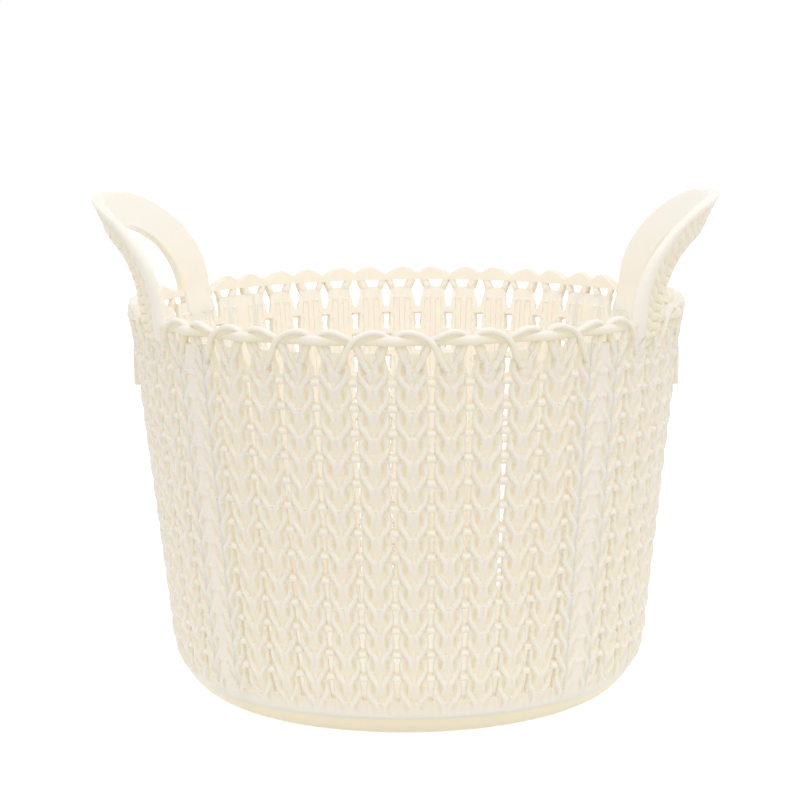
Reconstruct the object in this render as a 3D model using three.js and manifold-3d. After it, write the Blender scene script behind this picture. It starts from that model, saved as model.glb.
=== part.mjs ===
import * as THREE from 'three';
import Module from 'manifold-3d';
import { mergeVertices } from 'three/addons/utils/BufferGeometryUtils.js';

// Round storage basket moulded in cream plastic with a knit look: pierced walls
// between four solid seam columns, a braided rim and two handles that flare out.
// Millimetres, +Z up. The origin is under the middle of the foot, the front
// faces -Y and the handles stand on -X and +X.

const wasm = await Module();
wasm.setup();

// Body
const columnCount = 48;
const rimRadius = 95;
const rimHeight = 133.4;
const kneeRadius = 83;
const kneeHeight = 24;
const footRadius = 65;
const footWidth = 4.5;
const wallThickness = 3;
const clearance = 0.3;

// Ladder of windows in each column
const rowPitch = 8.05;
const firstBarDrop = 15.9;
const barDepth = 2.5;
const windowTopWidth = 3.8;
const windowBottomWidth = 2.6;
const topWindowWidth = 4.4;
const lowestWindowDepth = 7.2;
const panelColumns = [2, 2, 3, 2, 2];

// Seam columns with their wide bars
const knobWidth = 5.6;
const knobHeight = 2.2;
const knobDepth = 1.1;

// Braided rim
const braidDepth = 3.2;
const braidLegHeight = 3.1;
const braidLegWidth = 1.6;
const barBulge = 0.9;
const scallopRise = 2;
const scallopSetback = 0.7;

// Floor
const floorThickness = 2.2;
const floorChamfer = 0.8;

// Handles
const handleHeight = 170.8;
const handleHalfSpan = 54.4;
const handleWidth = 12.4;
const handleReach = 11.6;
const handleThickness = 3.2;
const handleTipThickness = 4.6;
const handleEdgeShare = 0.8;
const handleCrown = 0.7;
const handleFlare = 2.2;

// Bare plates on the two sides
const plateWidth = 29;
const plateHeight = 13;
const plateDrop = 27.4;
const plateProud = 1.6;

const halfTurn = Math.PI;
const pitch = (2 * halfTurn) / columnCount;
const quarterColumns = columnCount / 4;
const seamColumn = quarterColumns / 2;

// Wall radius: a straight cone above the knee, an elliptic sweep below it.
const taper = (rimRadius - kneeRadius) / (rimHeight - kneeHeight);
const sweepWidth = kneeRadius - footRadius;

function wallRadius(z) {
  return kneeRadius + taper * (z - kneeHeight);
}

function sweepPoint(angle, depth) {
  const across = kneeHeight * Math.sin(angle);
  const up = sweepWidth * Math.cos(angle);
  const length = Math.hypot(across, up);
  return {
    radius: footRadius + sweepWidth * Math.sin(angle) - (depth * across) / length,
    height: kneeHeight * (1 - Math.cos(angle)) + (depth * up) / length,
  };
}

function sweepAngle(z) {
  return Math.acos(1 - z / kneeHeight);
}

// A point of the wall at a height, set in from its outer face by a depth.
function wallPoint(z, depth) {
  if (z < kneeHeight) return sweepPoint(sweepAngle(z), depth);
  return { radius: wallRadius(z) - depth, height: z };
}

// A point at an azimuth counted from the front towards +X.
function place(azimuth, radius, z) {
  return [radius * Math.sin(azimuth), -radius * Math.cos(azimuth), z];
}

// Ladder bars, counted from the top, down to the one that closes the wall.
const firstBar = rimHeight - firstBarDrop;
const lowestAllowed = kneeHeight - 1.6 * barDepth;
const lastBar = Math.floor((firstBar - lowestAllowed) / rowPitch);
const barFoot = (i) => firstBar - i * rowPitch;
const lowestWindow = barFoot(lastBar) - lowestWindowDepth;
const skirtTop = lowestWindow - barDepth / 2 - clearance;
const wallBottom = skirtTop + clearance;
const rimFoot = rimHeight - braidDepth - braidLegHeight;
const wallTop = rimFoot - clearance;

function meshFrom(name, positions, index, material) {
  const geometry = new THREE.BufferGeometry();
  geometry.setAttribute('position', new THREE.Float32BufferAttribute(positions, 3));
  geometry.setIndex(index);
  geometry.computeVertexNormals();
  const mesh = new THREE.Mesh(geometry, material);
  mesh.name = name;
  return mesh;
}

// A closed shell of cells between upright lines and level rows. corner(line,
// level, side) gives a point, with side 0 outside and 1 inside.
function cellShell(lines, levels, corner, isSolid) {
  const positions = [];
  const index = [];
  const known = new Map();
  const spans = lines - 1;
  const vertex = (line, level, side) => {
    const key = (line * levels + level) * 2 + side;
    if (!known.has(key)) {
      known.set(key, positions.length / 3);
      positions.push(...corner(line, level, side));
    }
    return known.get(key);
  };
  const filled = (line, level) => {
    if (level < 0 || level >= levels - 1 || line < 0 || line >= spans) return false;
    return isSolid(line, level);
  };
  const quad = (a, b, c, d) => index.push(a, b, c, a, c, d);
  for (let line = 0; line < spans; line += 1) {
    for (let level = 0; level < levels - 1; level += 1) {
      if (!filled(line, level)) continue;
      const outer = [0, 1].map((up) => [0, 1].map((on) => vertex(line + on, level + up, 0)));
      const inner = [0, 1].map((up) => [0, 1].map((on) => vertex(line + on, level + up, 1)));
      quad(outer[0][0], outer[0][1], outer[1][1], outer[1][0]);
      quad(inner[0][1], inner[0][0], inner[1][0], inner[1][1]);
      if (!filled(line, level - 1)) quad(outer[0][0], inner[0][0], inner[0][1], outer[0][1]);
      if (!filled(line, level + 1)) quad(outer[1][0], outer[1][1], inner[1][1], inner[1][0]);
      if (!filled(line - 1, level)) quad(outer[0][0], outer[1][0], inner[1][0], inner[0][0]);
      if (!filled(line + 1, level)) quad(outer[0][1], inner[0][1], inner[1][1], outer[1][1]);
    }
  }
  return { positions, index };
}

// The azimuth of a piece's edge, drawn back by half a clearance.
function edgeAzimuth(column, radius, towards) {
  return column * pitch + (towards * clearance) / 2 / radius;
}

// Wall panels: a band at the bottom, then windows and bars in turn, and an open
// notch at the top of each column, which the rim closes.

function wallLevels() {
  const heights = [wallBottom, lowestWindow];
  for (let i = lastBar; i >= 0; i -= 1) {
    heights.push(barFoot(i), barFoot(i) + barDepth);
  }
  heights.push(wallTop);
  return heights;
}

function windowWidth(level, levels) {
  if (level === levels - 1) return topWindowWidth;
  return level > 0 && level % 2 === 0 ? windowTopWidth : windowBottomWidth;
}

function wallPanel(name, firstEdge, columns, material) {
  const heights = wallLevels();
  const corner = (line, level, side) => {
    const { radius, height } = wallPoint(heights[level], side * wallThickness);
    if (line === 0) return place(edgeAzimuth(firstEdge, radius, 1), radius, height);
    if (line === 2 * columns + 1) {
      return place(edgeAzimuth(firstEdge + columns, radius, -1), radius, height);
    }
    const column = firstEdge + 0.5 + Math.floor((line - 1) / 2);
    const direction = line % 2 === 1 ? -1 : 1;
    const half = windowWidth(level, heights.length) / 2;
    return place(column * pitch + (direction * half) / radius, radius, height);
  };
  const isSolid = (line, level) => line % 2 === 0 || level % 2 === 0;
  const shell = cellShell(2 * columns + 2, heights.length, corner, isSolid);
  return meshFrom(name, shell.positions, shell.index, material);
}

// Seam columns: solid posts with a wide bar where the windows have theirs.

function solidOf(positions, index) {
  return new wasm.Manifold(new wasm.Mesh({
    numProp: 3,
    vertProperties: new Float32Array(positions),
    triVerts: new Uint32Array(index),
  }));
}

function geometrySolid(geometry) {
  const bare = geometry.clone();
  bare.deleteAttribute('normal');
  bare.deleteAttribute('uv');
  const merged = mergeVertices(bare);
  return solidOf(merged.attributes.position.array, merged.index.array);
}

function seamPost(name, column, material) {
  const heights = [wallBottom, (wallBottom + kneeHeight) / 2, kneeHeight, wallTop];
  const corner = (line, level, side) => {
    const { radius, height } = wallPoint(heights[level], side * wallThickness);
    const azimuths = [
      edgeAzimuth(column - 0.5, radius, 1),
      column * pitch,
      edgeAzimuth(column + 0.5, radius, -1),
    ];
    return place(azimuths[line], radius, height);
  };
  const shell = cellShell(3, heights.length, corner, () => true);
  let post = solidOf(shell.positions, shell.index);
  const sink = wallThickness / 2;
  for (let i = 0; i <= lastBar; i += 1) {
    const z = barFoot(i);
    const knob = new THREE.BoxGeometry(knobWidth, knobDepth + sink, knobHeight);
    const reach = wallRadius(z + knobHeight / 2) + (knobDepth - sink) / 2;
    knob.translate(0, -reach, z + knobHeight / 2);
    knob.rotateZ(column * pitch);
    post = post.add(geometrySolid(knob));
  }
  const result = post.getMesh();
  return meshFrom(name, Array.from(result.vertProperties), Array.from(result.triVerts), material);
}

// Curved skirt: a smooth band that turns in below the knit and ends in the foot,
// in four lengths that part under the seam columns.

function skirtLength(name, middleColumn, material) {
  const topAngle = sweepAngle(skirtTop);
  const steps = 4;
  const levels = steps + 2;
  const corner = (line, level, side) => {
    const angle = (topAngle * Math.max(level - 1, 0)) / steps;
    const sweep = sweepPoint(angle, side * wallThickness);
    const radius = level === 0 ? sweep.radius - footWidth : sweep.radius;
    const column = middleColumn - quarterColumns / 2 + line;
    const towards = (line === 0) - (line === quarterColumns);
    return place(edgeAzimuth(column, radius, towards), radius, sweep.height);
  };
  const shell = cellShell(quarterColumns + 1, levels, corner, () => true);
  return meshFrom(name, shell.positions, shell.index, material);
}

// Floor disc, lying on the foot ring.

function floorDisc(name, material) {
  const underside = wallThickness + clearance;
  const top = underside + floorThickness;
  const radius = footRadius - clearance;
  const profile = [
    new THREE.Vector2(0, underside),
    new THREE.Vector2(radius, underside),
    new THREE.Vector2(radius, top - floorChamfer),
    new THREE.Vector2(radius - floorChamfer, top),
    new THREE.Vector2(0, top),
  ];
  const geometry = new THREE.LatheGeometry(profile, columnCount);
  geometry.rotateX(halfTurn / 2);
  const disc = geometrySolid(geometry).getMesh();
  return meshFrom(name, Array.from(disc.vertProperties), Array.from(disc.triVerts), material);
}

// Braided rim: a bulging bar over every second column, scallops between the
// bars, and a pair of short legs on each side of a column down to the staves.

const legInner = braidLegWidth * 1.7;
const legOuter = legInner + braidLegWidth;

function rimStation(column, slot) {
  const isBar = Math.abs(column) % 2 === 0;
  const legFoot = [-legOuter, -legInner, legInner, legOuter];
  const crossing = braidLegWidth * 0.3;
  const legHead = isBar ? legFoot : [-crossing - braidLegWidth, -crossing, crossing, crossing + braidLegWidth];
  const rises = isBar ? [0.8, 0.45, 0.45, 0.8] : [0.35, -0.4, -0.4, 0.35];
  if (slot === 4) {
    const half = (rimRadius * pitch) / 2;
    return { foot: half, head: half, rise: 1, bulge: 0.3 };
  }
  return { foot: legFoot[slot], head: legHead[slot], rise: rises[slot], bulge: isBar ? 1 : 0.25 };
}

// The rim stops beside a handle leg: each end follows that leg's edge.
function legEnd(middleColumn, direction, arch, gap) {
  const azimuth = (radius, z) => {
    const across = arch.halfSpan * archShare(arch, Math.max(z, handleBase)) + gap;
    return middleColumn * pitch + direction * Math.asin(across / radius);
  };
  return { azimuth, column: azimuth(rimRadius, handleBase) / pitch };
}

function rimSegment(name, start, end, material) {
  const ending = { rise: 0.6, bulge: 0.3, solidAfter: false };
  const stations = [{ ...ending, azimuth: start.azimuth }];
  const columnWidth = rimRadius * pitch;
  const margin = braidLegWidth / columnWidth;
  for (let column = Math.floor(start.column); column <= Math.ceil(end.column); column += 1) {
    for (let slot = 0; slot < 5; slot += 1) {
      const station = rimStation(column, slot);
      const reach = [station.foot, station.head].map((along) => column + along / columnWidth);
      if (Math.min(...reach) < start.column + margin) continue;
      if (Math.max(...reach) > end.column - margin) continue;
      stations.push({ ...station, column, solidAfter: slot === 0 || slot === 2 });
    }
  }
  stations[stations.length - 1].solidAfter = false;
  stations.push({ ...ending, azimuth: end.azimuth });
  const heights = [rimFoot, rimFoot + braidLegHeight, rimHeight - braidDepth / 3, rimHeight];
  const corner = (line, level, side) => {
    const station = stations[line];
    const isTop = level === heights.length - 1;
    const z = heights[level] + (isTop ? station.rise * scallopRise : 0);
    const proud = level === 0 ? 0 : station.bulge * barBulge;
    const outside = isTop ? -scallopSetback : proud;
    const radius = wallRadius(z) + (side === 0 ? outside : -wallThickness);
    if (station.azimuth) return place(station.azimuth(radius, z), radius, z);
    const along = level === 0 ? station.foot : station.head;
    return place(station.column * pitch + along / radius, radius, z);
  };
  const isSolid = (line, level) => level > 0 || stations[line].solidAfter;
  const shell = cellShell(stations.length, heights.length, corner, isSolid);
  return meshFrom(name, shell.positions, shell.index, material);
}

// Handles: a flared arch whose inner face carries on from the wall.

const handleBase = rimFoot;
// An arch gets squarer shoulders as fullness grows and a flatter top as crest does.
const handleArch = { halfSpan: handleHalfSpan, apex: handleHeight, fullness: 3.8, crest: 2.3 };
const fingerArch = {
  halfSpan: handleHalfSpan - handleWidth,
  apex: handleHeight - handleWidth,
  fullness: 2.9,
  crest: 1.7,
};

function handleRadius(z) {
  const climb = Math.max(z - rimHeight, 0) / (handleHeight - rimHeight);
  const lean = taper * (Math.min(z, rimHeight) - rimHeight);
  return rimRadius - wallThickness + lean + handleReach * Math.pow(climb, handleFlare);
}

function archPoint(arch, turn) {
  const bend = Math.cos(turn);
  const climb = Math.sin(turn);
  return {
    across: arch.halfSpan * Math.sign(bend) * Math.pow(Math.abs(bend), 2 / arch.fullness),
    height: handleBase + (arch.apex - handleBase) * Math.pow(climb, 2 / arch.crest),
  };
}

// How wide an arch still is at a height, as a share of its span at the base.
function archShare(arch, z) {
  const climb = (z - handleBase) / (arch.apex - handleBase);
  return Math.pow(1 - Math.pow(climb, arch.crest), 1 / arch.fullness);
}

function handle(name, side, material) {
  const steps = 36;
  const positions = [];
  const index = [];
  const sectionSize = 6;
  for (let i = 0; i <= steps; i += 1) {
    const turn = (halfTurn * i) / steps;
    const edge = archPoint(handleArch, turn);
    const hole = archPoint(fingerArch, turn);
    const share = Math.sin(turn);
    const thickness = handleThickness + (handleTipThickness - handleThickness) * share;
    const section = [
      [0, 0],
      [1, 0],
      [1, thickness * handleEdgeShare],
      [0.75, thickness + handleCrown * (1 - share)],
      [0.25, thickness + handleCrown * (1 - share)],
      [0, thickness * handleEdgeShare],
    ];
    for (const [fraction, depth] of section) {
      const across = hole.across + (edge.across - hole.across) * fraction;
      const z = hole.height + (edge.height - hole.height) * fraction;
      const radius = handleRadius(z) + depth;
      positions.push(side * Math.sqrt(radius * radius - across * across), side * across, z);
    }
  }
  const ringAt = (i, j) => i * sectionSize + (j % sectionSize);
  for (let i = 0; i < steps; i += 1) {
    for (let j = 0; j < sectionSize; j += 1) {
      const a = ringAt(i, j);
      const b = ringAt(i, j + 1);
      const c = ringAt(i + 1, j + 1);
      const d = ringAt(i + 1, j);
      index.push(a, c, b, a, d, c);
    }
  }
  for (let j = 1; j < sectionSize - 1; j += 1) {
    index.push(ringAt(0, 0), ringAt(0, j), ringAt(0, j + 1));
    index.push(ringAt(steps, 0), ringAt(steps, j + 1), ringAt(steps, j));
  }
  return meshFrom(name, positions, index, material);
}

// Bare plates: a wedge on each side wall, flush at its top and proud below.

function sidePlate(name, column, material) {
  const bottom = rimHeight - plateDrop;
  const heights = [bottom, bottom + plateHeight];
  const steps = 6;
  const corner = (line, level, side) => {
    const z = heights[level];
    const seat = wallRadius(z) + clearance;
    const proud = level === 0 ? plateProud : plateProud / 4;
    const radius = side === 0 ? seat + proud : seat;
    const across = plateWidth * (line / steps - 0.5);
    return place(column * pitch + across / wallRadius(z), radius, z);
  };
  const shell = cellShell(steps + 1, heights.length, corner, () => true);
  return meshFrom(name, shell.positions, shell.index, material);
}

function plastic(color, roughness) {
  return new THREE.MeshStandardMaterial({ color, roughness, metalness: 0 });
}

const knitPlastic = plastic(0xece1d1, 0.42);
const smoothPlastic = plastic(0xf5f0e6, 0.32);

const basket = new THREE.Group();
basket.name = 'round_basket';

basket.add(floorDisc('base_floor', smoothPlastic));

const sides = ['front', 'right', 'back', 'left'];
const panels = ['far_left', 'left', 'middle', 'right', 'far_right'];
sides.forEach((side, i) => {
  basket.add(skirtLength(`skirt_${side}`, i * quarterColumns, smoothPlastic));
});
sides.forEach((side, i) => {
  let edge = i * quarterColumns - (quarterColumns - 1) / 2;
  panels.forEach((panel, j) => {
    basket.add(wallPanel(`wall_${side}_${panel}`, edge, panelColumns[j], knitPlastic));
    edge += panelColumns[j];
  });
});

const corners = ['front_right', 'back_right', 'back_left', 'front_left'];
corners.forEach((corner, i) => {
  basket.add(seamPost(`seam_post_${corner}`, seamColumn + i * quarterColumns, knitPlastic));
});

sides.forEach((side, i) => {
  const middle = i * quarterColumns;
  const isHandleSide = i % 2 === 1;
  const start = isHandleSide
    ? legEnd(middle, -1, fingerArch, -clearance)
    : legEnd(middle - quarterColumns, 1, handleArch, clearance);
  const end = isHandleSide
    ? legEnd(middle, 1, fingerArch, -clearance)
    : legEnd(middle + quarterColumns, -1, handleArch, clearance);
  basket.add(rimSegment(`rim_${side}`, start, end, knitPlastic));
});

basket.add(handle('handle_right', 1, smoothPlastic));
basket.add(handle('handle_left', -1, smoothPlastic));
basket.add(sidePlate('side_plate_right', quarterColumns, smoothPlastic));
basket.add(sidePlate('side_plate_left', -quarterColumns, smoothPlastic));

export default basket;
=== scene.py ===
import math

import bmesh
import bpy
import numpy as np
from mathutils import Matrix, Vector
from mathutils.geometry import delaunay_2d_cdt


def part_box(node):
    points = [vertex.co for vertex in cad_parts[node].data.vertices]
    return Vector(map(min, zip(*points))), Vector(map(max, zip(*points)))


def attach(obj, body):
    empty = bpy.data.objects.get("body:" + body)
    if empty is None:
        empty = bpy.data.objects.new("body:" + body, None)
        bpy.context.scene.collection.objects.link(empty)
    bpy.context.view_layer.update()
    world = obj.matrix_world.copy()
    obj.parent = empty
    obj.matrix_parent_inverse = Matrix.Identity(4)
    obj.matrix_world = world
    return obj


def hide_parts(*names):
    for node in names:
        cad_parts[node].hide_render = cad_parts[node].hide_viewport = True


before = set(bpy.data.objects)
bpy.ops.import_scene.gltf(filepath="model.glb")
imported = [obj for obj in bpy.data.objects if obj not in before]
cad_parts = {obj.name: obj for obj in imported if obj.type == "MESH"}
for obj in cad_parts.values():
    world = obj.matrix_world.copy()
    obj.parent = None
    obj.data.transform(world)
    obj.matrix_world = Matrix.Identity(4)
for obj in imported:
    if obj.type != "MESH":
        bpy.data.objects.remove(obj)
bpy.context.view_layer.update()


# Camera: a long lens a little above the rim and a touch right of the basket's
# middle. The picture is square, 800 pixels wide, and is turned a hair on its axis.
def placed(name, data):
    """Puts a mesh, a light or a camera into the scene as an object."""
    thing = bpy.data.objects.new(name, data)
    bpy.context.scene.collection.objects.link(thing)
    return thing


picture_pixels = 800
focal_pixels = 2366.8
axis_pixel = 406.9
sensor_width = 36.0
camera_azimuth = 0.0483
camera_distance = 0.8101
camera_height = 0.2299
camera_pitch = 0.1605
camera_roll = 0.0093

forward_level = Vector((-math.sin(camera_azimuth), math.cos(camera_azimuth), 0))
right_level = Vector((math.cos(camera_azimuth), math.sin(camera_azimuth), 0))
upward = Vector((0, 0, 1))
look = forward_level * math.cos(camera_pitch) - upward * math.sin(camera_pitch)
lift = forward_level * math.sin(camera_pitch) + upward * math.cos(camera_pitch)
camera_right = right_level * math.cos(camera_roll) - lift * math.sin(camera_roll)
camera_up = right_level * math.sin(camera_roll) + lift * math.cos(camera_roll)
camera_data = bpy.data.cameras.new("camera")
camera_data.sensor_width = sensor_width
camera_data.lens = sensor_width * focal_pixels / picture_pixels
camera_data.shift_x = (picture_pixels / 2 - axis_pixel) / picture_pixels
camera = placed("camera", camera_data)
camera.matrix_world = Matrix.Translation(
    Vector((0, 0, camera_height)) - forward_level * camera_distance
) @ Matrix((camera_right, camera_up, -look)).transposed().to_4x4()
bpy.context.scene.camera = camera


# Floor disc: the flat bottom of the moulding, raised off the table by the ring
# foot. The numbers here and below are millimetres, and a mesh becomes metres
# when it is made.
millimetre = 0.001
floor_low, floor_high = (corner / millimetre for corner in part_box("base_floor"))
floor_top = floor_high.z
floor_underside = floor_low.z
floor_edge = floor_high.x
ring_steps = 192
axis_gap = 0.01


def mesh_piece(name, points, faces, sharp_angle=50):
    """A smooth object with its faces turned outwards, and creases over the sharp angle."""
    mesh = bpy.data.meshes.new(name)
    mesh.from_pydata((np.asarray(points) * millimetre).tolist(), [], faces)
    mesh.validate()
    shape = bmesh.new()
    shape.from_mesh(mesh)
    bmesh.ops.recalc_face_normals(shape, faces=shape.faces)
    shape.to_mesh(mesh)
    shape.free()
    mesh.shade_smooth()
    mesh.set_sharp_from_angle(angle=math.radians(sharp_angle))
    return placed(name, mesh)


def mark_painted_shade(piece, amounts):
    """Stores for each point how much painted warm shade it has, such as deep in the knit's recesses."""
    layer = piece.data.attributes.new("painted_shade", "FLOAT", "POINT")
    layer.data.foreach_set("value", np.asarray(amounts, np.float32))


def ring_faces(rings, size, closed=False, flipped=False):
    """Faces between rings of points in a row, and on to the first ring again if closed."""
    faces = []
    for i in range(rings if closed else rings - 1):
        here, after = i * size, (i + 1) % rings * size
        for j in range(size):
            k = (j + 1) % size
            face = (here + j, after + j, after + k, here + k)
            faces.append(face[:1] + face[:0:-1] if flipped else face)
    return faces


def turned_ring(name, profile):
    """Turns a closed profile of (radius, height) about the basket's axis."""
    turns = np.arange(ring_steps) * 2 * math.pi / ring_steps
    radius, height = np.array(profile).T
    points = np.stack([
        np.outer(np.sin(turns), radius),
        -np.outer(np.cos(turns), radius),
        np.outer(np.ones(ring_steps), height),
    ], axis=2).reshape(-1, 3)
    return mesh_piece(name, points, ring_faces(ring_steps, len(profile), closed=True))


def floor_profile():
    top = [(axis_gap, floor_top), (floor_edge / 2, floor_top), (floor_edge, floor_top)]
    return top + [(floor_edge, floor_underside), (axis_gap, floor_underside)]


# The whole basket is one cream polypropylene with a satin grain from the mould. Its
# recesses, undersides and skirt get a painted warm shade for the light the plastic lets in.
mottle_scale = 45
mottle_spread = 0.12
mottle_shift = -0.05
rub_spread = 0.16
grain_scale = 1400
grain_height = 0.00004


def grain_and_painted_shade_group():
    group = bpy.data.node_groups.new("grain_and_painted_shade", "ShaderNodeTree")
    for name, way, kind in (
        ("Open Color", "INPUT", "Color"),
        ("Painted Shade Color", "INPUT", "Color"),
        ("Roughness", "INPUT", "Float"),
        ("Grain", "INPUT", "Float"),
        ("Color", "OUTPUT", "Color"),
        ("Roughness", "OUTPUT", "Float"),
        ("Normal", "OUTPUT", "Vector"),
    ):
        group.interface.new_socket(name, in_out=way, socket_type=f"NodeSocket{kind}")
    nodes, links = group.nodes, group.links
    given, put = nodes.new("NodeGroupInput"), nodes.new("NodeGroupOutput")
    place = nodes.new("ShaderNodeTexCoord")
    painted_shade = nodes.new("ShaderNodeAttribute")
    painted_shade.attribute_name = "painted_shade"
    mottle, grain = nodes.new("ShaderNodeTexNoise"), nodes.new("ShaderNodeTexNoise")
    for noise, scale, detail in ((mottle, mottle_scale, 3), (grain, grain_scale, 2)):
        noise.inputs["Scale"].default_value = scale
        noise.inputs["Detail"].default_value = detail
        links.new(place.outputs["Object"], noise.inputs["Vector"])
    amount, rub = nodes.new("ShaderNodeMath"), nodes.new("ShaderNodeMath")
    for share, spread in ((amount, mottle_spread), (rub, rub_spread)):
        share.operation = "MULTIPLY_ADD"
        share.inputs[1].default_value = spread
        links.new(mottle.outputs["Fac"], share.inputs[0])
    amount.inputs[2].default_value = mottle_shift
    links.new(given.outputs["Roughness"], rub.inputs[2])
    links.new(rub.outputs[0], put.inputs["Roughness"])
    # Painted shade: the warm shade colour is mixed in by each point's painted shade amount, with a faint
    # random mottle added.
    total = nodes.new("ShaderNodeMath")
    total.operation = "ADD"
    total.use_clamp = True
    links.new(painted_shade.outputs["Fac"], total.inputs[0])
    links.new(amount.outputs[0], total.inputs[1])
    blend = nodes.new("ShaderNodeMix")
    blend.data_type = "RGBA"
    links.new(total.outputs[0], blend.inputs["Factor"])
    links.new(given.outputs["Open Color"], blend.inputs["A"])
    links.new(given.outputs["Painted Shade Color"], blend.inputs["B"])
    links.new(blend.outputs["Result"], put.inputs["Color"])
    bump = nodes.new("ShaderNodeBump")
    bump.inputs["Distance"].default_value = grain_height
    links.new(given.outputs["Grain"], bump.inputs["Strength"])
    links.new(grain.outputs["Fac"], bump.inputs["Height"])
    links.new(bump.outputs["Normal"], put.inputs["Normal"])
    return group


grain_and_painted_shade = grain_and_painted_shade_group()
# The painted warm shade colour.
painted_shade_colour = (0.955, 0.865, 0.65, 1)
plastic_ior = 1.49
glow_reach = (1.0, 0.62, 0.34)
glow_depth = 0.0022


def cream_plastic(name, color, roughness, grain, glow=0.35):
    material = bpy.data.materials.new(name)
    material.use_nodes = True
    tree = material.node_tree
    shader = tree.nodes["Principled BSDF"]
    surface = tree.nodes.new("ShaderNodeGroup")
    surface.node_tree = grain_and_painted_shade
    values = ((*color, 1), painted_shade_colour, roughness, grain)
    for socket, value in zip(("Open Color", "Painted Shade Color", "Roughness", "Grain"), values):
        surface.inputs[socket].default_value = value
    for made, taken in (("Color", "Base Color"), ("Roughness", "Roughness"), ("Normal", "Normal")):
        tree.links.new(surface.outputs[made], shader.inputs[taken])
    shader.inputs["IOR"].default_value = plastic_ior
    shader.inputs["Subsurface Weight"].default_value = glow
    shader.inputs["Subsurface Radius"].default_value = glow_reach
    shader.inputs["Subsurface Scale"].default_value = glow_depth
    return material


smooth_cream = cream_plastic("smooth_cream", (0.95, 0.9, 0.81), 0.30, 0.35)
knit_cream = cream_plastic("knit_cream", (0.95, 0.885, 0.79), 0.36, 0.7)
braid_cream = cream_plastic("braid_cream", (0.955, 0.9, 0.8), 0.30, 0.35, glow=0.04)

basket_floor = turned_ring("basket_floor", floor_profile()[::-1])
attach(basket_floor, "root")
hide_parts("base_floor")
basket_floor.data.materials.append(smooth_cream)


# Curved skirt and ring foot: the plain band that turns in under the knit, stands
# on a narrow ring and runs on into the floor with a soft fillet inside.
rim_radius = 95.0
rim_height = 133.4
knee_radius = 83.0
knee_height = 24.0
foot_radius = 65.0
foot_width = 4.5
foot_round = 0.6
fillet_turn = 0.75
fillet_reach = 3.6
fillet_points = 9
lowest_turn = 0.16
wall_thickness = 3.0
skirt_top = 7.6
skirt_depth = 0.35
skirt_steps = 14
skirt_painted_shade = 1.0
taper = (rim_radius - knee_radius) / (rim_height - knee_height)
sweep_width = knee_radius - foot_radius


def wall_point(height, depth):
    """Radius and height of a point of the wall, set in from its outer face."""
    height, depth = np.broadcast_arrays(np.asarray(height, float), np.asarray(depth, float))
    angle = np.arccos(np.clip(1 - height / knee_height, -1, 1))
    across = knee_height * np.sin(angle)
    up = sweep_width * np.cos(angle)
    length = np.hypot(across, up)
    low_radius = foot_radius + sweep_width * np.sin(angle) - depth * across / length
    low_height = knee_height * (1 - np.cos(angle)) + depth * up / length
    high_radius = knee_radius + taper * (height - knee_height) - depth
    is_low = height < knee_height
    return np.where(is_low, low_radius, high_radius), np.where(is_low, low_height, height)


def fillet_line():
    """Points of the fillet, from the flat floor up to the wall's inner face."""
    height = knee_height * (1 - math.cos(fillet_turn))
    end = np.array(wall_point(height, wall_thickness))
    slope = knee_height * math.sin(fillet_turn) / (sweep_width * math.cos(fillet_turn))
    corner = np.array([end[0] - (end[1] - floor_top) / slope, floor_top])
    start = corner - (fillet_reach, 0)
    shares = np.linspace(0, 1, fillet_points)
    return [tuple((1 - t) ** 2 * start + 2 * t * (1 - t) * corner + t * t * end) for t in shares]


def skirt_profile():
    """The closed profile, and how much painted warm shade each point has."""
    angles = np.linspace(math.acos(1 - skirt_top / knee_height), lowest_turn, skirt_steps)
    heights = knee_height * (1 - np.cos(angles))
    outside = np.stack(wall_point(heights, skirt_depth * heights / skirt_top), axis=1)
    foot = [(foot_radius - foot_round / 2, 0), (foot_radius - foot_width + foot_round, 0)]
    foot += [(foot_radius - foot_width, foot_round), (foot_radius - foot_width, floor_underside)]
    inside = [(floor_edge, floor_underside), (floor_edge, floor_top)] + fillet_line()
    inside.append(tuple(np.array(wall_point(skirt_top, wall_thickness))))
    profile = [tuple(p) for p in outside] + foot + inside
    return profile, [skirt_painted_shade] * len(outside) + [0] * (len(profile) - len(outside))


skirt_line, skirt_shade = skirt_profile()
curved_skirt = turned_ring("curved_skirt", skirt_line[::-1])
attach(curved_skirt, "root")
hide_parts(*(f"skirt_{side}" for side in ("front", "right", "back", "left")))
curved_skirt.data.materials.append(smooth_cream)
# Painted shade: the skirt's outer face is painted full warm shade; the foot, floor and fillet are not.
mark_painted_shade(curved_skirt, np.tile(skirt_shade[::-1], ring_steps))


# Knit wall: the pierced wall of each side slide of the mould, eleven columns
# wide. A column is a ladder of windows and round bars with a strand running
# down and outwards from each bar, and the strands of two columns meet in a gutter.
column_count = 48
column_angle = 2 * math.pi / column_count
quarter_columns = column_count // 4
seam_column = quarter_columns // 2
first_bar = 117.5
row_pitch = 8.05
bar_rows = 13
bar_height = 2.25
stave_top = 128.0
flat_width = 12.0
mean_level = 1.15
edge_level = 1.2
gutter_level = 0.7
gutter_place = (0.43, 0.49)
pocket_level = 1.85
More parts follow.
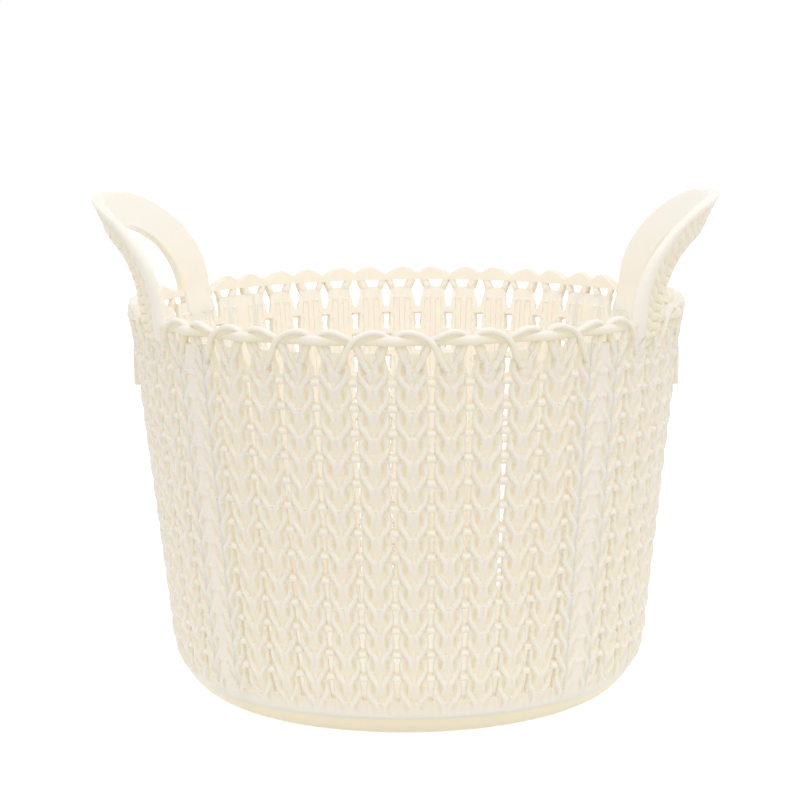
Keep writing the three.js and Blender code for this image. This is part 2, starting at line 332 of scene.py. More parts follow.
# Painted warm shade of the knit, given at these depths: none on the crests, most in the pockets.
painted_shade_depths = [0.35, mean_level, pocket_level, pocket_level + 0.1]
painted_shade_amounts = [0, 0.5, 1, 0]
diamond_size = (0.055, 0.16)
diamond_drop = 0.04
diamond_rise = 0.35
post_half_width = 0.21
post_level = 0.45
bar_crest = -0.1
bar_spread = (0.165, 0.120)
knob_spread = (0.25, 0.215)
bar_climbs = (-0.02, 0.07, 0.25, 0.5, 0.75, 0.93, 1.02)
bar_shares = (0, 0.25, 0.5, 0.75, 0.88, 0.97, 1.03)
strand_half_width = 0.92
strand_path = [
    (0.125, 0.02), (0.138, 0.28), (0.165, 0.54), (0.256, 0.76), (0.361, 0.98), (0.403, 1.13), (0.412, 1.28),
    (0.398, 1.42), (0.362, 1.58),
]
strand_crest = [0.75, 0.5, 0.25, 0.0, 0.0, 0.1, 0.35, 0.65, 1.2]
even_leg = [
    (0.13, -1.70), (0.18, -1.48), (0.25, -1.24), (0.31, -1.09), (0.38, -0.88), (0.41, -0.62),
    (0.418, -0.36), (0.39, -0.12),
]
odd_leg = [
    (0.03, -1.72), (0.09, -1.50), (0.17, -1.24), (0.25, -1.01), (0.32, -0.80), (0.385, -0.58),
    (0.415, -0.36), (0.39, -0.12),
]
leg_crest = [0.0, 0.0, 0.0, 0.0, 0.0, 0.1, 0.5, 1.4]
pocket_centre = (0.289, 0.34)
pocket_size = (0.05, 0.25)
window_outline = [
    (0.0, 0.0), (0.06, 0.0), (0.086, 0.02), (0.088, 0.07), (0.080, 0.19), (0.068, 0.32), (0.059, 0.46),
    (0.056, 0.55), (0.061, 0.68), (0.074, 0.80), (0.088, 0.89), (0.092, 0.94), (0.08, 0.985), (0.05, 1.0),
    (0.0, 1.0),
]
inner_outline = [
    (0.0, 0.0), (0.08, 0.0), (0.135, 0.0), (0.148, 0.03), (0.143, 0.145), (0.134, 0.29), (0.126, 0.43),
    (0.118, 0.55), (0.110, 0.70), (0.102, 0.83), (0.097, 0.94), (0.090, 1.0), (0.05, 1.0), (0.0, 1.0),
]
last_window_depth = 7.2
inner_lift = 1.0
inner_share = 1.07
notch_heights = [0.0, 0.0, 0.25, 1.4, 3.0, 4.5, 6.0, 7.7]
notch_widths = {
    ("even", False): [0.0, 0.3, 0.6, 0.85, 1.35, 1.95, 2.4, 2.55],
    ("even", True): [0.0, 0.3, 0.6, 0.85, 1.25, 1.65, 1.95, 2.05],
    ("odd", False): [0.0, 0.6, 0.95, 1.2, 1.45, 1.6, 1.7, 1.7],
    ("odd", True): [0.0, 0.6, 0.9, 1.05, 1.25, 1.5, 1.65, 1.6],
}
groove_places = (1.05, 3.1)
groove_width = 0.2
groove_depth = 0.28
rib_top = 124.1
rib_step = 0.5
rib_fade = 0.35
nub_place = 2.07
nub_drop = 0.1
nub_width = 0.6
nub_length = 0.45
nub_height = 0.75
lowest_rows_top = 12.5
clear_margin = 0.12
fade_start = 13.2
fade_end = 7.9


def smooth_line(points, count):
    """A curve through the points, with its values at evenly spread places."""
    points = np.asarray(points, float)
    ends = np.vstack([2 * points[0] - points[1], points, 2 * points[-1] - points[-2]])
    places = np.linspace(0, len(points) - 1, count)
    first = np.minimum(places.astype(int), len(points) - 2)
    t = (places - first)[:, None]
    a, b, c, d = (ends[first + i] for i in range(4))
    bend, twist = 2 * a - 5 * b + 4 * c - d, 3 * b - a - 3 * c + d
    return 0.5 * (2 * b + (c - a) * t + bend * t**2 + twist * t**3)


def bar_foot(row):
    return first_bar - row * row_pitch


def strands_of(kind):
    """Each strand of half a column, as rows of across, height, crest and half width."""
    strands = []
    for row in range(-2, bar_rows + 1):
        path, crest, start = strand_path, strand_crest, row
        if row == -2:
            path, crest, start = (odd_leg if kind == "odd" else even_leg), leg_crest, 0
        line = smooth_line(np.column_stack([np.array(path), crest]), 33)
        line[:, 0] *= flat_width
        line[:, 1] = bar_foot(start) - line[:, 1] * row_pitch
        share = np.linspace(0, 1, len(line))
        width = strand_half_width * (0.68 + 0.32 * np.sin(math.pi * np.clip(share * 1.05, 0, 1)) ** 0.7)
        strands.append(np.column_stack([line, width]))
    return strands


def window_rows(kind):
    """Outer and inner outlines of a column's windows as (across, height), top to bottom."""
    if kind == "seam":
        return []
    rows = []
    for row in range(bar_rows):
        depth = last_window_depth if row == bar_rows - 1 else row_pitch - bar_height
        outside = np.array(window_outline) * (flat_width, -depth) + (0, bar_foot(row))
        inner_foot = (0, bar_foot(row) + inner_lift)
        inside = np.array(inner_outline) * (flat_width, -depth * inner_share) + inner_foot
        rows.append([outside, inside])
    return rows


def top_outline(kind, inside):
    """The open notch over the first bar, from the bar's middle up to the stave's top."""
    if kind == "seam":
        return np.array([(0.0, stave_top)])
    foot = first_bar + bar_height + (inner_lift if inside else 0)
    climb = np.array(notch_heights) / notch_heights[-1]
    return np.column_stack([notch_widths[kind, inside], foot + climb * (stave_top - foot)])


def ease(value, start, end):
    share = np.clip((value - start) / (end - start), 0, 1)
    return share * share * (3 - 2 * share)


def outer_depth(across, height, kind):
    """How far the knit's surface lies in from the strands' crests."""
    share = across / flat_width
    row = (first_bar - height) / row_pitch
    phase = row - np.floor(row)
    depth = np.full_like(across, mean_level)
    depth = depth + (gutter_level - mean_level) * ease(share, *gutter_place)
    down = (phase + 0.5) % 1 - 0.5 - diamond_drop
    diamond = np.hypot((share - 0.5) / diamond_size[0], down / diamond_size[1])
    depth = depth - diamond_rise * np.clip(1 - diamond, 0, 1)
    for shift in (-1, 0, 1):
        reach = np.hypot(
            (share - pocket_centre[0]) / pocket_size[0],
            (phase - pocket_centre[1] + shift) / pocket_size[1],
        )
        depth = depth + (pocket_level - mean_level) * np.clip(1 - reach**2, 0, 1)
    if kind == "seam":
        post = np.sqrt(np.clip(1 - (share / post_half_width) ** 2, 0, 1))
        depth = np.minimum(depth, mean_level - (mean_level - post_level) * post)
    for strand in strands_of(kind):
        depth = np.minimum(depth, ridge_depth(across, height, strand, depth))
    climb = (phase - 1) * -row_pitch / bar_height
    roll = np.clip(1 - (2 * climb - 1) ** 2, 0, 1) ** 0.6
    foot_spread, top_spread = knob_spread if kind == "seam" else bar_spread
    half = foot_spread + (top_spread - foot_spread) * np.clip(climb, 0, 1)
    fill = np.clip(1 - (share / half) ** 4, 0, 1) ** 0.6
    is_bar = (height > bar_foot(bar_rows - 1) - 0.01) & (height < first_bar + bar_height + 0.01)
    bar = edge_level + (bar_crest - edge_level) * roll * fill
    depth = np.where(is_bar & (roll > 0) & (fill > 0), np.minimum(depth, bar), depth)
    fade = ease(height, fade_end, fade_start)
    return skirt_depth + (depth - skirt_depth) * fade


def ridge_depth(across, height, strand, ground):
    """Depth of a round strand laid on the ground."""
    start, end = strand[:-1], strand[1:]
    step = end[:, :2] - start[:, :2]
    offset = np.stack([across, height], axis=1)[:, None, :] - start[None, :, :2]
    along = np.clip((offset * step).sum(2) / (step**2).sum(1), 0, 1)
    distance = np.linalg.norm(offset - along[..., None] * step, axis=2)
    nearest = distance.argmin(axis=1)
    rows = np.arange(len(across))
    share = along[rows, nearest]
    crest, width = (start[nearest, i] * (1 - share) + end[nearest, i] * share for i in (2, 3))
    swell = np.sqrt(np.clip(1 - (distance[rows, nearest] / width) ** 4, 0, 1))
    return np.where(swell > 0, ground + (crest - ground) * swell, ground)


def inner_depth(across, height, kind):
    """The inner face: flat staves with fine grooves that end in nubs under the rim."""
    from_gutter = 0.5 * flat_width - across
    depth = np.full_like(across, wall_thickness)
    for place in groove_places:
        notch = np.clip(1 - np.abs(from_gutter - place) / groove_width, 0, 1)
        depth = depth - groove_depth * notch
    above = ease(height, rib_top, rib_top + rib_fade)
    nub = np.exp(-((height - rib_top + nub_drop) / nub_length) ** 2)
    nub = nub * np.exp(-((from_gutter - nub_place) / nub_width) ** 2)
    return depth * (1 - above) + (wall_thickness - rib_step) * above + nub_height * nub


def spread_points(groups, spacing):
    """Keeps each group's points that lie far enough from those kept before."""
    kept = np.zeros((0, 2))
    for points, least in zip(groups, spacing):
        for point in points:
            if len(kept) == 0 or np.min(np.hypot(*(kept - point).T)) > least:
                kept = np.vstack([kept, point])
    return kept


def opening_width(height, rows, top):
    """Half width of the opening at each height, and none where the wall is whole."""
    width = np.zeros_like(height)
    for line in rows + [top]:
        low, high = line[:, 1].min(), line[:, 1].max()
        towards_middle = np.where(line[:, 1] * 2 < low + high, 1, -1)
        order = np.lexsort((line[:, 0] * towards_middle, line[:, 1]))
        found = np.interp(height, line[order, 1], line[order, 0])
        width = np.where((height > low) & (height < high), found, width)
    return width


def inner_groups(half, edge_heights):
    """Points along the grooves and nubs of the inner face, and the least spacing of each group."""
    shifts = (-groove_width, 0, groove_width)
    lines = [half - place + shift for place in groove_places for shift in shifts]
    levels = edge_heights[edge_heights < rib_top - 1.2].tolist()
    levels += [rib_top - 1.0, rib_top - 0.5, rib_top - 0.1, rib_top + rib_fade, stave_top]
    grooves = [(x, z) for x in lines for z in levels]
    nubs = [(half - nub_place, z) for z in (rib_top - 0.9, rib_top - 0.3, rib_top, rib_top + 0.3)]
    return [grooves, nubs], [0.02, 0.1]


def outer_groups(kind, half):
    """Points on the bars, strands and pockets of the outer face, and between them."""
    crests, flanks = [], []
    for strand in strands_of(kind):
        line = strand[::3]
        ahead = np.gradient(line[:, :2], axis=0)
        ahead /= np.linalg.norm(ahead, axis=1)[:, None]
        beside = np.column_stack([-ahead[:, 1], ahead[:, 0]])
        crests += list(line[:, :2])
        for share in (0.6, 0.88, 1.1):
            for sign in (-1, 1):
                flanks += list(line[:, :2] + beside * line[:, 3:4] * share * sign)
    bars, pockets = [], []
    foot_spread, top_spread = knob_spread if kind == "seam" else bar_spread
    for row in range(-2, bar_rows + 1):
        foot = bar_foot(row)
        for climb in bar_climbs:
            half_bar = (foot_spread + (top_spread - foot_spread) * climb) * flat_width
            bars += [(half_bar * share, foot + bar_height * climb) for share in bar_shares]
        for turn in np.linspace(0, 2 * math.pi, 9)[:-1]:
            for size in (0.55, 1.05):
                across = pocket_centre[0] + pocket_size[0] * size * math.sin(turn)
                down = pocket_centre[1] + pocket_size[1] * size * math.cos(turn)
                pockets.append((across * flat_width, foot - down * row_pitch))
        pockets.append((pocket_centre[0] * flat_width, foot - pocket_centre[1] * row_pitch))
    between = [
        (x + (level % 2) * 0.4, z)
        for level, z in enumerate(np.arange(skirt_top + 0.6, stave_top, 0.7))
        for x in np.arange(0.4, half, 0.8)
    ]
    return [bars, crests, flanks, pockets, between], [0.2, 0.2, 0.17, 0.3, 0.5]


def half_face(kind, inside):
    """Triangles of one face of half a column, with its edges as lists of points."""
    rows = [pair[1 if inside else 0] for pair in window_rows(kind)]
    top = top_outline(kind, inside)
    edge_heights = np.unique(np.round(np.concatenate([
        np.linspace(skirt_top, lowest_rows_top, 6),
        np.arange(lowest_rows_top, stave_top, row_pitch / (3 if inside else 10)),
        [stave_top],
    ]), 4))
    half = flat_width / 2
    gutter = [(half, z) for z in edge_heights]
    stave_edge = [(x, stave_top) for x in np.linspace(top[-1, 0], half, 9)]
    foot_edge = [(x, skirt_top) for x in np.linspace(0, half, 9)]
    lift = inner_lift if inside else 0
    last_window = last_window_depth * (inner_share if inside else 1)
    closed_to = bar_foot(bar_rows - 1) - last_window + lift if rows else stave_top
    centre = [(0.0, z) for z in np.linspace(skirt_top, closed_to, 7 if rows else 90)]
    for row in range(bar_rows if rows else 0):
        foot = bar_foot(row) + lift
        tall = row_pitch - inner_share * (row_pitch - bar_height) if inside and row else bar_height
        centre += [(0.0, z) for z in foot + tall * np.array([0, 0.07, 0.25, 0.5, 0.75, 0.93, 1])]
    fixed = [tuple(p) for line in rows + [top] for p in line] + gutter + stave_edge + foot_edge + centre
    groups, least = inner_groups(half, edge_heights) if inside else outer_groups(kind, half)
    cleared = [np.unique(np.round(fixed, 5), axis=0)]
    for group in groups:
        group = np.asarray(group, float)
        heights = [group[:, 1] + shift for shift in (-clear_margin, 0, clear_margin)]
        opening = np.max([opening_width(height, rows, top) for height in heights], axis=0)
        keep = group[:, 0] > np.where(opening > 0, opening + clear_margin, 0.1)
        keep &= group[:, 0] < half - clear_margin
        keep &= (group[:, 1] > skirt_top + clear_margin) & (group[:, 1] < stave_top - clear_margin)
        cleared.append(group[keep])
    points = spread_points(cleared, [1e-4] + least)
    borders = []
    for line in rows + [top, np.array(gutter), np.array(stave_edge), np.array(foot_edge)]:
        places = [int(np.argmin(np.hypot(*(points - p).T))) for p in line]
        borders.append(places)
    edges = [pair for line in borders for pair in zip(line[:-1], line[1:]) if pair[0] != pair[1]]
    found = delaunay_2d_cdt([Vector(p) for p in points.tolist()], edges, [], 0, 1e-6)
    flat = np.array([tuple(v) for v in found[0]])
    back = {i: origin[0] for i, origin in enumerate(found[3]) if origin}
    triangles = []
    for face in found[2]:
        if any(i not in back for i in face):
            continue
        middle = flat[list(face)].mean(axis=0)
        if middle[0] < opening_width(middle[1:2], rows, top)[0]:
            continue
        triangles.append([back[i] for i in face])
    return points, np.array(triangles), borders


def bridge(first, second, first_keys, second_keys):
    """Triangles between two lines of points, matched by their keys."""
    faces, i, j = [], 0, 0
    while i < len(first) - 1 or j < len(second) - 1:
        forward = j == len(second) - 1 or (i < len(first) - 1 and first_keys[i + 1] <= second_keys[j + 1])
        if forward:
            faces.append((first[i], first[i + 1], second[j]))
            i += 1
        else:
            faces.append((first[i], second[j + 1], second[j]))
            j += 1
    return faces


def share_of(line):
    steps = np.hypot(*np.diff(line, axis=0).T)
    total = np.concatenate([[0], np.cumsum(steps)])
    return total / max(total[-1], 1e-9)


def half_column(kind):
    """Half a column as (across, height, depth) points and faces, with its gutter edges."""
    outer, outer_faces, outer_lines = half_face(kind, False)
    inner, inner_faces, inner_lines = half_face(kind, True)
    depth = outer_depth(outer[:, 0], outer[:, 1], kind)
    seam = outer_lines[-3]
    depth[seam] = outer_depth(outer[seam, 0], outer[seam, 1], "even")
    for line in outer_lines[:-3]:
        depth[line] = np.maximum(depth[line], edge_level)
    stave = outer_lines[-2]
    depth[stave] = np.maximum(depth[stave], edge_level)
    base = len(outer)
    points = np.vstack([
        np.column_stack([outer, depth]),
        np.column_stack([inner, inner_depth(inner[:, 0], inner[:, 1], kind)]),
    ])
    faces = [tuple(f) for f in outer_faces] + [tuple(f[::-1] + base) for f in inner_faces]
    pairs = list(zip(outer_lines, inner_lines))
    for number, (outside, inside) in enumerate(pairs):
        if number == len(pairs) - 3:
            continue
        inside = [i + base for i in inside]
        keys = [share_of(points[line, :2]) for line in (outside, inside)]
        faces += bridge(outside, inside, *keys)
    gutter = [outer_lines[-3], [i + base for i in inner_lines[-3]]]
    return points, faces, gutter


def wall_piece(name, columns):
    """Joins the columns from left to right into one closed wall."""
    vertices, painted_shades, faces, offset = [], [], [], 0
    for number, column in enumerate(columns):
        kind = "seam" if abs(column) % quarter_columns == seam_column else ("odd" if column % 2 else "even")
        points, half_faces, gutter = halves[kind]
        for sign in (-1, 1):
            radius, height = wall_point(points[:, 1], points[:, 2])
            azimuth = (column + sign * points[:, 0] / flat_width) * column_angle
            vertices.append(np.column_stack([radius * np.sin(azimuth), -radius * np.cos(azimuth), height]))
            turned = [f[::sign] for f in half_faces]
            if (sign < 0 and number == 0) or (sign > 0 and number == len(columns) - 1):
                keys = [points[line, 1] for line in gutter]
                turned += [f[::-sign] for f in bridge(*gutter, *keys)]
            faces += [tuple(i + offset for i in f) for f in turned]
            offset += len(points)
        # Painted shade: knit points get more warm shade the deeper they lie, most in the pockets and none
        # on the crests or the inner face.
        painted_shades.append(np.tile(np.interp(points[:, 2], painted_shade_depths, painted_shade_amounts), 2))
    return welded(name, np.vstack(vertices), faces, np.concatenate(painted_shades))


def welded(name, points, faces, painted_shade):
    """Merges points that lie together and drops faces that close up on themselves."""
    _, first, place = np.unique(np.round(points, 3), axis=0, return_index=True, return_inverse=True)
    faces = place.reshape(-1)[np.array(faces)]
    whole = (faces[:, 0] != faces[:, 1]) & (faces[:, 1] != faces[:, 2]) & (faces[:, 0] != faces[:, 2])
    piece = mesh_piece(name, points[first], faces[whole].tolist())
    mark_painted_shade(piece, painted_shade[first])
    return piece


halves = {kind: half_column(kind) for kind in ("even", "odd", "seam")}
sides = ("front", "right", "back", "left")
panels = ("far_left", "left", "middle", "right", "far_right")
for turn, side in enumerate(sides):
    middle = turn * quarter_columns
    wall = wall_piece(f"knit_wall_{side}", range(middle - seam_column + 1, middle + seam_column))
    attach(wall, "root")
    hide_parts(*(f"wall_{side}_{panel}" for panel in panels))
    wall.data.materials.append(knit_cream)


# Seam columns: where two slides of the mould meet, the column has no windows,
# only a smooth post with wide bars across it, between the same slanting strands.
corner_names = ("front_right", "back_right", "back_left", "front_left")
for turn, corner in enumerate(corner_names):
    post = wall_piece(f"seam_column_{corner}", [seam_column + turn * quarter_columns])
    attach(post, "root")
    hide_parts(f"seam_post_{corner}")
    post.data.materials.append(knit_cream)


# Braided rim: a smooth scalloped band with the braid moulded on its outside. A
# lens-shaped bar lies over every second column, and round strands rise from
# behind the bars, cross over the columns between and run down as short legs.
rim_underside = 130.6
arch_top = 135.6
bar_top = 133.65
crossing_top = 132.6
band_back = 3.0
band_front = 0.65
# The last number of each station is its painted warm shade: more at the bar's ends, down the legs and on
# the strand that runs under a crossing.
lens_bar = [
    (-0.80, 131.3, 1.3, 0.5, 0.3, 0.8), (-0.62, 131.5, 1.1, 0.9, 0.6, 0.8),
    (-0.36, 131.8, 0.75, 1.3, 0.8, 0.6), (-0.12, 132.05, 0.1, 1.6, 1.1, 0.1),
    (0.12, 132.05, 0.1, 1.6, 1.1, 0.1), (0.36, 131.8, 0.75, 1.3, 0.8, 0.6),
    (0.62, 131.5, 1.1, 0.9, 0.6, 0.8), (0.80, 131.3, 1.3, 0.5, 0.3, 0.8),
]
scallop_strand = [
    (0.07, 132.2, 1.9, 0.5, 0.8, 0.2), (0.14, 133.4, 1.7, 0.85, 1.1, 0),
    (0.27, 134.45, 1.45, 0.97, 1.35, 0), (0.42, 134.7, 1.3, 0.98, 1.4, 0),
    (0.58, 134.45, 1.2, 0.98, 1.35, 0), (0.78, 133.5, 1.0, 0.97, 1.25, 0),
]
over_crossing = [
    (0.93, 132.4, 0.55, 0.97, 1.0, 0), (1.04, 130.9, 0.4, 1.0, 0.95, 0.1),
    (1.11, 129.2, 0.4, 1.05, 0.9, 0.2), (1.18, 127.3, 0.5, 1.08, 0.85, 0.2),
    (1.26, 125.3, 0.65, 1.05, 0.75, 0.2), (1.34, 123.4, 0.85, 0.9, 0.6, 0.2),
    (1.41, 121.6, 1.2, 0.6, 0.5, 0.2),
]
under_crossing = [
    (0.93, 132.3, 1.5, 0.95, 1.0, 0.3), (1.04, 130.9, 1.4, 1.05, 0.9, 0.8),
    (1.11, 129.3, 1.1, 1.08, 0.85, 0.6), (1.18, 127.5, 0.85, 1.08, 0.85, 0.4),
    (1.26, 125.3, 0.75, 1.05, 0.75, 0.3), (1.34, 123.4, 1.05, 0.75, 0.75, 0.2),
    (1.41, 121.6, 1.2, 0.6, 0.5, 0.2),
]
bar_leg = [
    (0.13, 131.6, 1.3, 0.8, 0.7, 0.9), (0.17, 130.0, 1.0, 1.05, 0.8, 0.8),
    (0.23, 128.0, 0.8, 1.08, 0.85, 0.5), (0.30, 126.3, 0.7, 1.05, 0.75, 0.3),
    (0.38, 124.7, 0.8, 1.0, 0.65, 0.2), (0.44, 122.6, 1.0, 0.75, 0.65, 0.2),
    (0.46, 120.9, 1.3, 0.5, 0.5, 0.2),
]
inner_legs = [
    [
        (0.19, 131.9, 1.9, 1.5, 1.1, 0), (0.205, 130.7, 1.9, 1.55, 1.1, 0),
        (0.245, 129.4, 1.9, 1.55, 1.1, 0), (0.30, 128.2, 1.8, 1.6, 1.1, 0),
        (0.35, 127.1, 1.2, 1.5, 1.0, 0),
    ],
    [
        (0.925, 131.9, 1.9, 1.3, 1.1, 0), (0.905, 130.7, 1.9, 1.3, 1.1, 0),
        (0.865, 129.4, 1.9, 1.2, 1.1, 0), (0.815, 128.2, 1.8, 1.2, 1.1, 0),
        (0.77, 127.1, 1.2, 1.1, 1.0, 0),
    ],
]
strand_sides = 12
strand_least = 0.02
tip_shares = (0.05, 0.75)
band_chamfer = 0.3
band_end_drop = 2.6
band_end_length = 0.4
# Painted shade: the band's outer face behind the braid is painted deep warm shade, its inner face a little.
band_painted_shades = [0.25, 0.25, 0.1, 0.9, 0.9, 0.9]
rim_reach = {"front": 7.34, "back": 7.34, "right": 3.5, "left": 3.5}


def wall_place(column, height, depth):
    """A point of the wall at a column, height and depth, as X, Y and Z."""
    radius, level = wall_point(height, depth)
    turn = np.asarray(column) * column_angle
    return np.column_stack(np.broadcast_arrays(radius * np.sin(turn), -radius * np.cos(turn), level))


def strand_body(stations, count):
    """Points and faces of a tapering round strand, and how much painted warm shade each has.

    A station of it is (column, height, depth, half height, half depth, painted shade)."""
    line = smooth_line(stations, count)
    centre = wall_place(line[:, 0], line[:, 1], line[:, 2])
    ahead = np.gradient(centre, axis=0)
    ahead /= np.linalg.norm(ahead, axis=1)[:, None]
    outward = centre * (1, 1, 0)
    outward /= np.linalg.norm(outward, axis=1)[:, None]
    beside = np.cross(outward, ahead)
    beside /= np.linalg.norm(beside, axis=1)[:, None]
    outward = np.cross(ahead, beside)
    turns = np.arange(strand_sides) * 2 * math.pi / strand_sides
    closing = np.ones(count)
    closing[0] = closing[-1] = tip_shares[0]
    closing[1] = closing[-2] = tip_shares[1]
    half_height = np.maximum(line[:, 3] * closing, strand_least)
    half_depth = np.maximum(line[:, 4] * closing, strand_least)
    upwards = (half_height[:, None] * np.cos(turns))[..., None]
    outwards = (half_depth[:, None] * np.sin(turns))[..., None]
    offset = beside[:, None, :] * upwards + outward[:, None, :] * outwards
    points = centre[:, None, :] + offset
    # Painted shade: each strand's underside is painted warmer than its top, plus the station's own painted
    # shade.
    shade = np.clip(0.2 - 0.6 * offset[..., 2] / half_height[:, None] + line[:, 5:6], 0, 1)
    faces = ring_faces(count, strand_sides)
    faces.append(tuple(range(strand_sides)))
    faces.append(tuple(reversed(range((count - 1) * strand_sides, count * strand_sides))))
    return points.reshape(-1, 3), faces, shade.reshape(-1)


def scallop_height(column):
    """Top of the rim at a column: a flat valley over a bar, a peak beside it and a notch at a crossing."""
    away = np.abs((np.asarray(column) + 1) % 2 - 1)
    places = [0.0, 0.10, 0.18, 0.28, 0.42, 0.58, 0.78, 0.92, 1.0]
    levels = [bar_top, bar_top, 134.3, 135.25, arch_top, 135.3, 134.2, 133.0, crossing_top]
    return np.interp(away, places, levels) - 0.45


def rim_band(start, end):
    """The smooth band behind the braid, from one column place to another."""
    columns = np.linspace(start, end, int((end - start) * 16) + 1)
    section = []
    for column in columns:
        from_end = min(column - start, end - column)
        end_drop = band_end_drop * float(1 - ease(from_end, 0, band_end_length))
        top = float(scallop_height(column)) - end_drop
        section += [
            (column, rim_underside, band_back),
            (column, top, band_back),
            (column, top + band_chamfer, band_back - 0.5),
            (column, top, band_front),
            (column, rim_underside + band_chamfer, band_front),
            (column, rim_underside, band_front + band_chamfer),
        ]
    size = len(band_painted_shades)
    faces = ring_faces(len(columns), size, flipped=True)
    faces += [tuple(reversed(range(size))), tuple(range(len(section) - size, len(section)))]
    return wall_place(*np.array(section).T), faces, np.tile(band_painted_shades, len(columns))


def mirrored(stations, column, sign):
    return [(column + sign * place, *rest) for place, *rest in stations][::sign]


def joined(name, bodies, sharp_angle=50):
    """Makes one piece of several closed bodies."""
    points, faces, painted_shades, offset = [], [], [], 0
    for body_points, body_faces, body_painted_shade in bodies:
        points.append(body_points)
        painted_shades.append(body_painted_shade)
        faces += [tuple(i + offset for i in face) for face in body_faces]
        offset += len(body_points)
    piece = mesh_piece(name, np.vstack(points), faces, sharp_angle)
    mark_painted_shade(piece, np.concatenate(painted_shades))
    return piece


def rim_length(side):
    middle = sides.index(side) * quarter_columns
    reach = rim_reach[side]
    bodies = [rim_band(middle - reach, middle + reach)]
    for place in range(-8, 9):
        column = middle + place
        if place % 2 == 0 and abs(place) < reach - 0.5:
            bodies.append(strand_body(mirrored(lens_bar, column, 1), 25))
            for sign in (-1, 1):
                bodies.append(strand_body(mirrored(bar_leg, column, sign), 19))
                bodies += [strand_body(mirrored(leg, column, sign), 13) for leg in inner_legs]
                outwards = sign * place >= 0
                path = scallop_strand + (over_crossing if outwards else under_crossing)
                if abs(place + sign) > reach + 0.6:
                    continue
                kept = [s for s in path if abs(place + sign * s[0]) < reach - 0.1]
                if len(kept) > 3:
                    bodies.append(strand_body(mirrored(kept, column, sign), 9 + 2 * len(kept)))
    piece = joined(f"braided_rim_{side}", bodies)
    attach(piece, "root")
    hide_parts(f"rim_{side}")
    piece.data.materials.append(braid_cream)


for side in sides:
    rim_length(side)


# Handles: two flared loops whose smooth inner face carries on from the wall. The
# outer edge is a thick rounded bead, and beside it the outer face has two rows of
# slanting stitches that end in a shoulder under the apex.
handle_base = 127.1
handle_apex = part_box("handle_right")[1].z / millimetre
handle_half_span = 54.4
handle_width = 12.4
handle_reach = 11.1
handle_flare = 2.25
face_heights = [127.0, 144.6, 151.0, 155.8, 158.1, 160.3, 163.3, 170.8]
face_thicknesses = [3.3, 3.2, 3.2, 4.3, 4.8, 4.8, 4.7, 4.5]
edge_climbs = [0.0, 0.85, 1.0]
edge_thicknesses = [3.3, 3.5, 4.5]
outer_arch = (handle_half_span, handle_apex, 3.8, 2.3)
finger_arch = (handle_half_span - handle_width, handle_apex - handle_width, 2.9, 1.7)
handle_steps = 300
handle_root = 121.0
root_steps = 16
root_sink = 1.7
bead_round = 1.5
bead_width = 2.7
hole_round = 0.9
hole_drop = 0.9
stitch_length = 3.3
stitch_slant = 1.7
stitch_relief = 0.8
stitches_end = 21.0
hole_border = 1.3


def handle_radius(height):
    """Radius of the handle's inner face."""
    climb = np.maximum(height - rim_height, 0) / (handle_apex - rim_height)
    lean = taper * (np.minimum(height, rim_height) - rim_height)
    return rim_radius - wall_thickness + lean + handle_reach * climb**handle_flare


def arch_line(arch, turns):
    half_span, apex, fullness, crest = arch
    across = half_span * np.sign(np.cos(turns)) * np.abs(np.cos(turns)) ** (2 / fullness)
    return across, handle_base + (apex - handle_base) * np.sin(turns) ** (2 / crest)


def even_turns(arch, count):
    """Turns that space the arch's points evenly along its length."""
    turns = np.linspace(0, math.pi, 4001)
    across, height = arch_line(arch, turns)
    length = np.concatenate([[0], np.cumsum(np.hypot(np.diff(across), np.diff(height)))])
    return np.interp(np.linspace(0, length[-1], count), length, turns)


def stitch_swell(fraction, along, width):
    """How full the stitches are, from 0 in a groove to 1 on a crest."""
    first, last = (hole_round + hole_border) / width, 1 - bead_width / width
    share = (fraction - first) / (last - first)
    if not 0 < share < 1:
        return 1.0 if share <= -0.04 else 0.0
    lane = 2 * (share % 0.5)
    phase = (along / stitch_length + stitch_slant / stitch_length * abs(2 * share - 1)) % 1
    return math.sqrt(math.sin(math.pi * lane)) * (1 - abs(2 * phase - 1) ** 3)


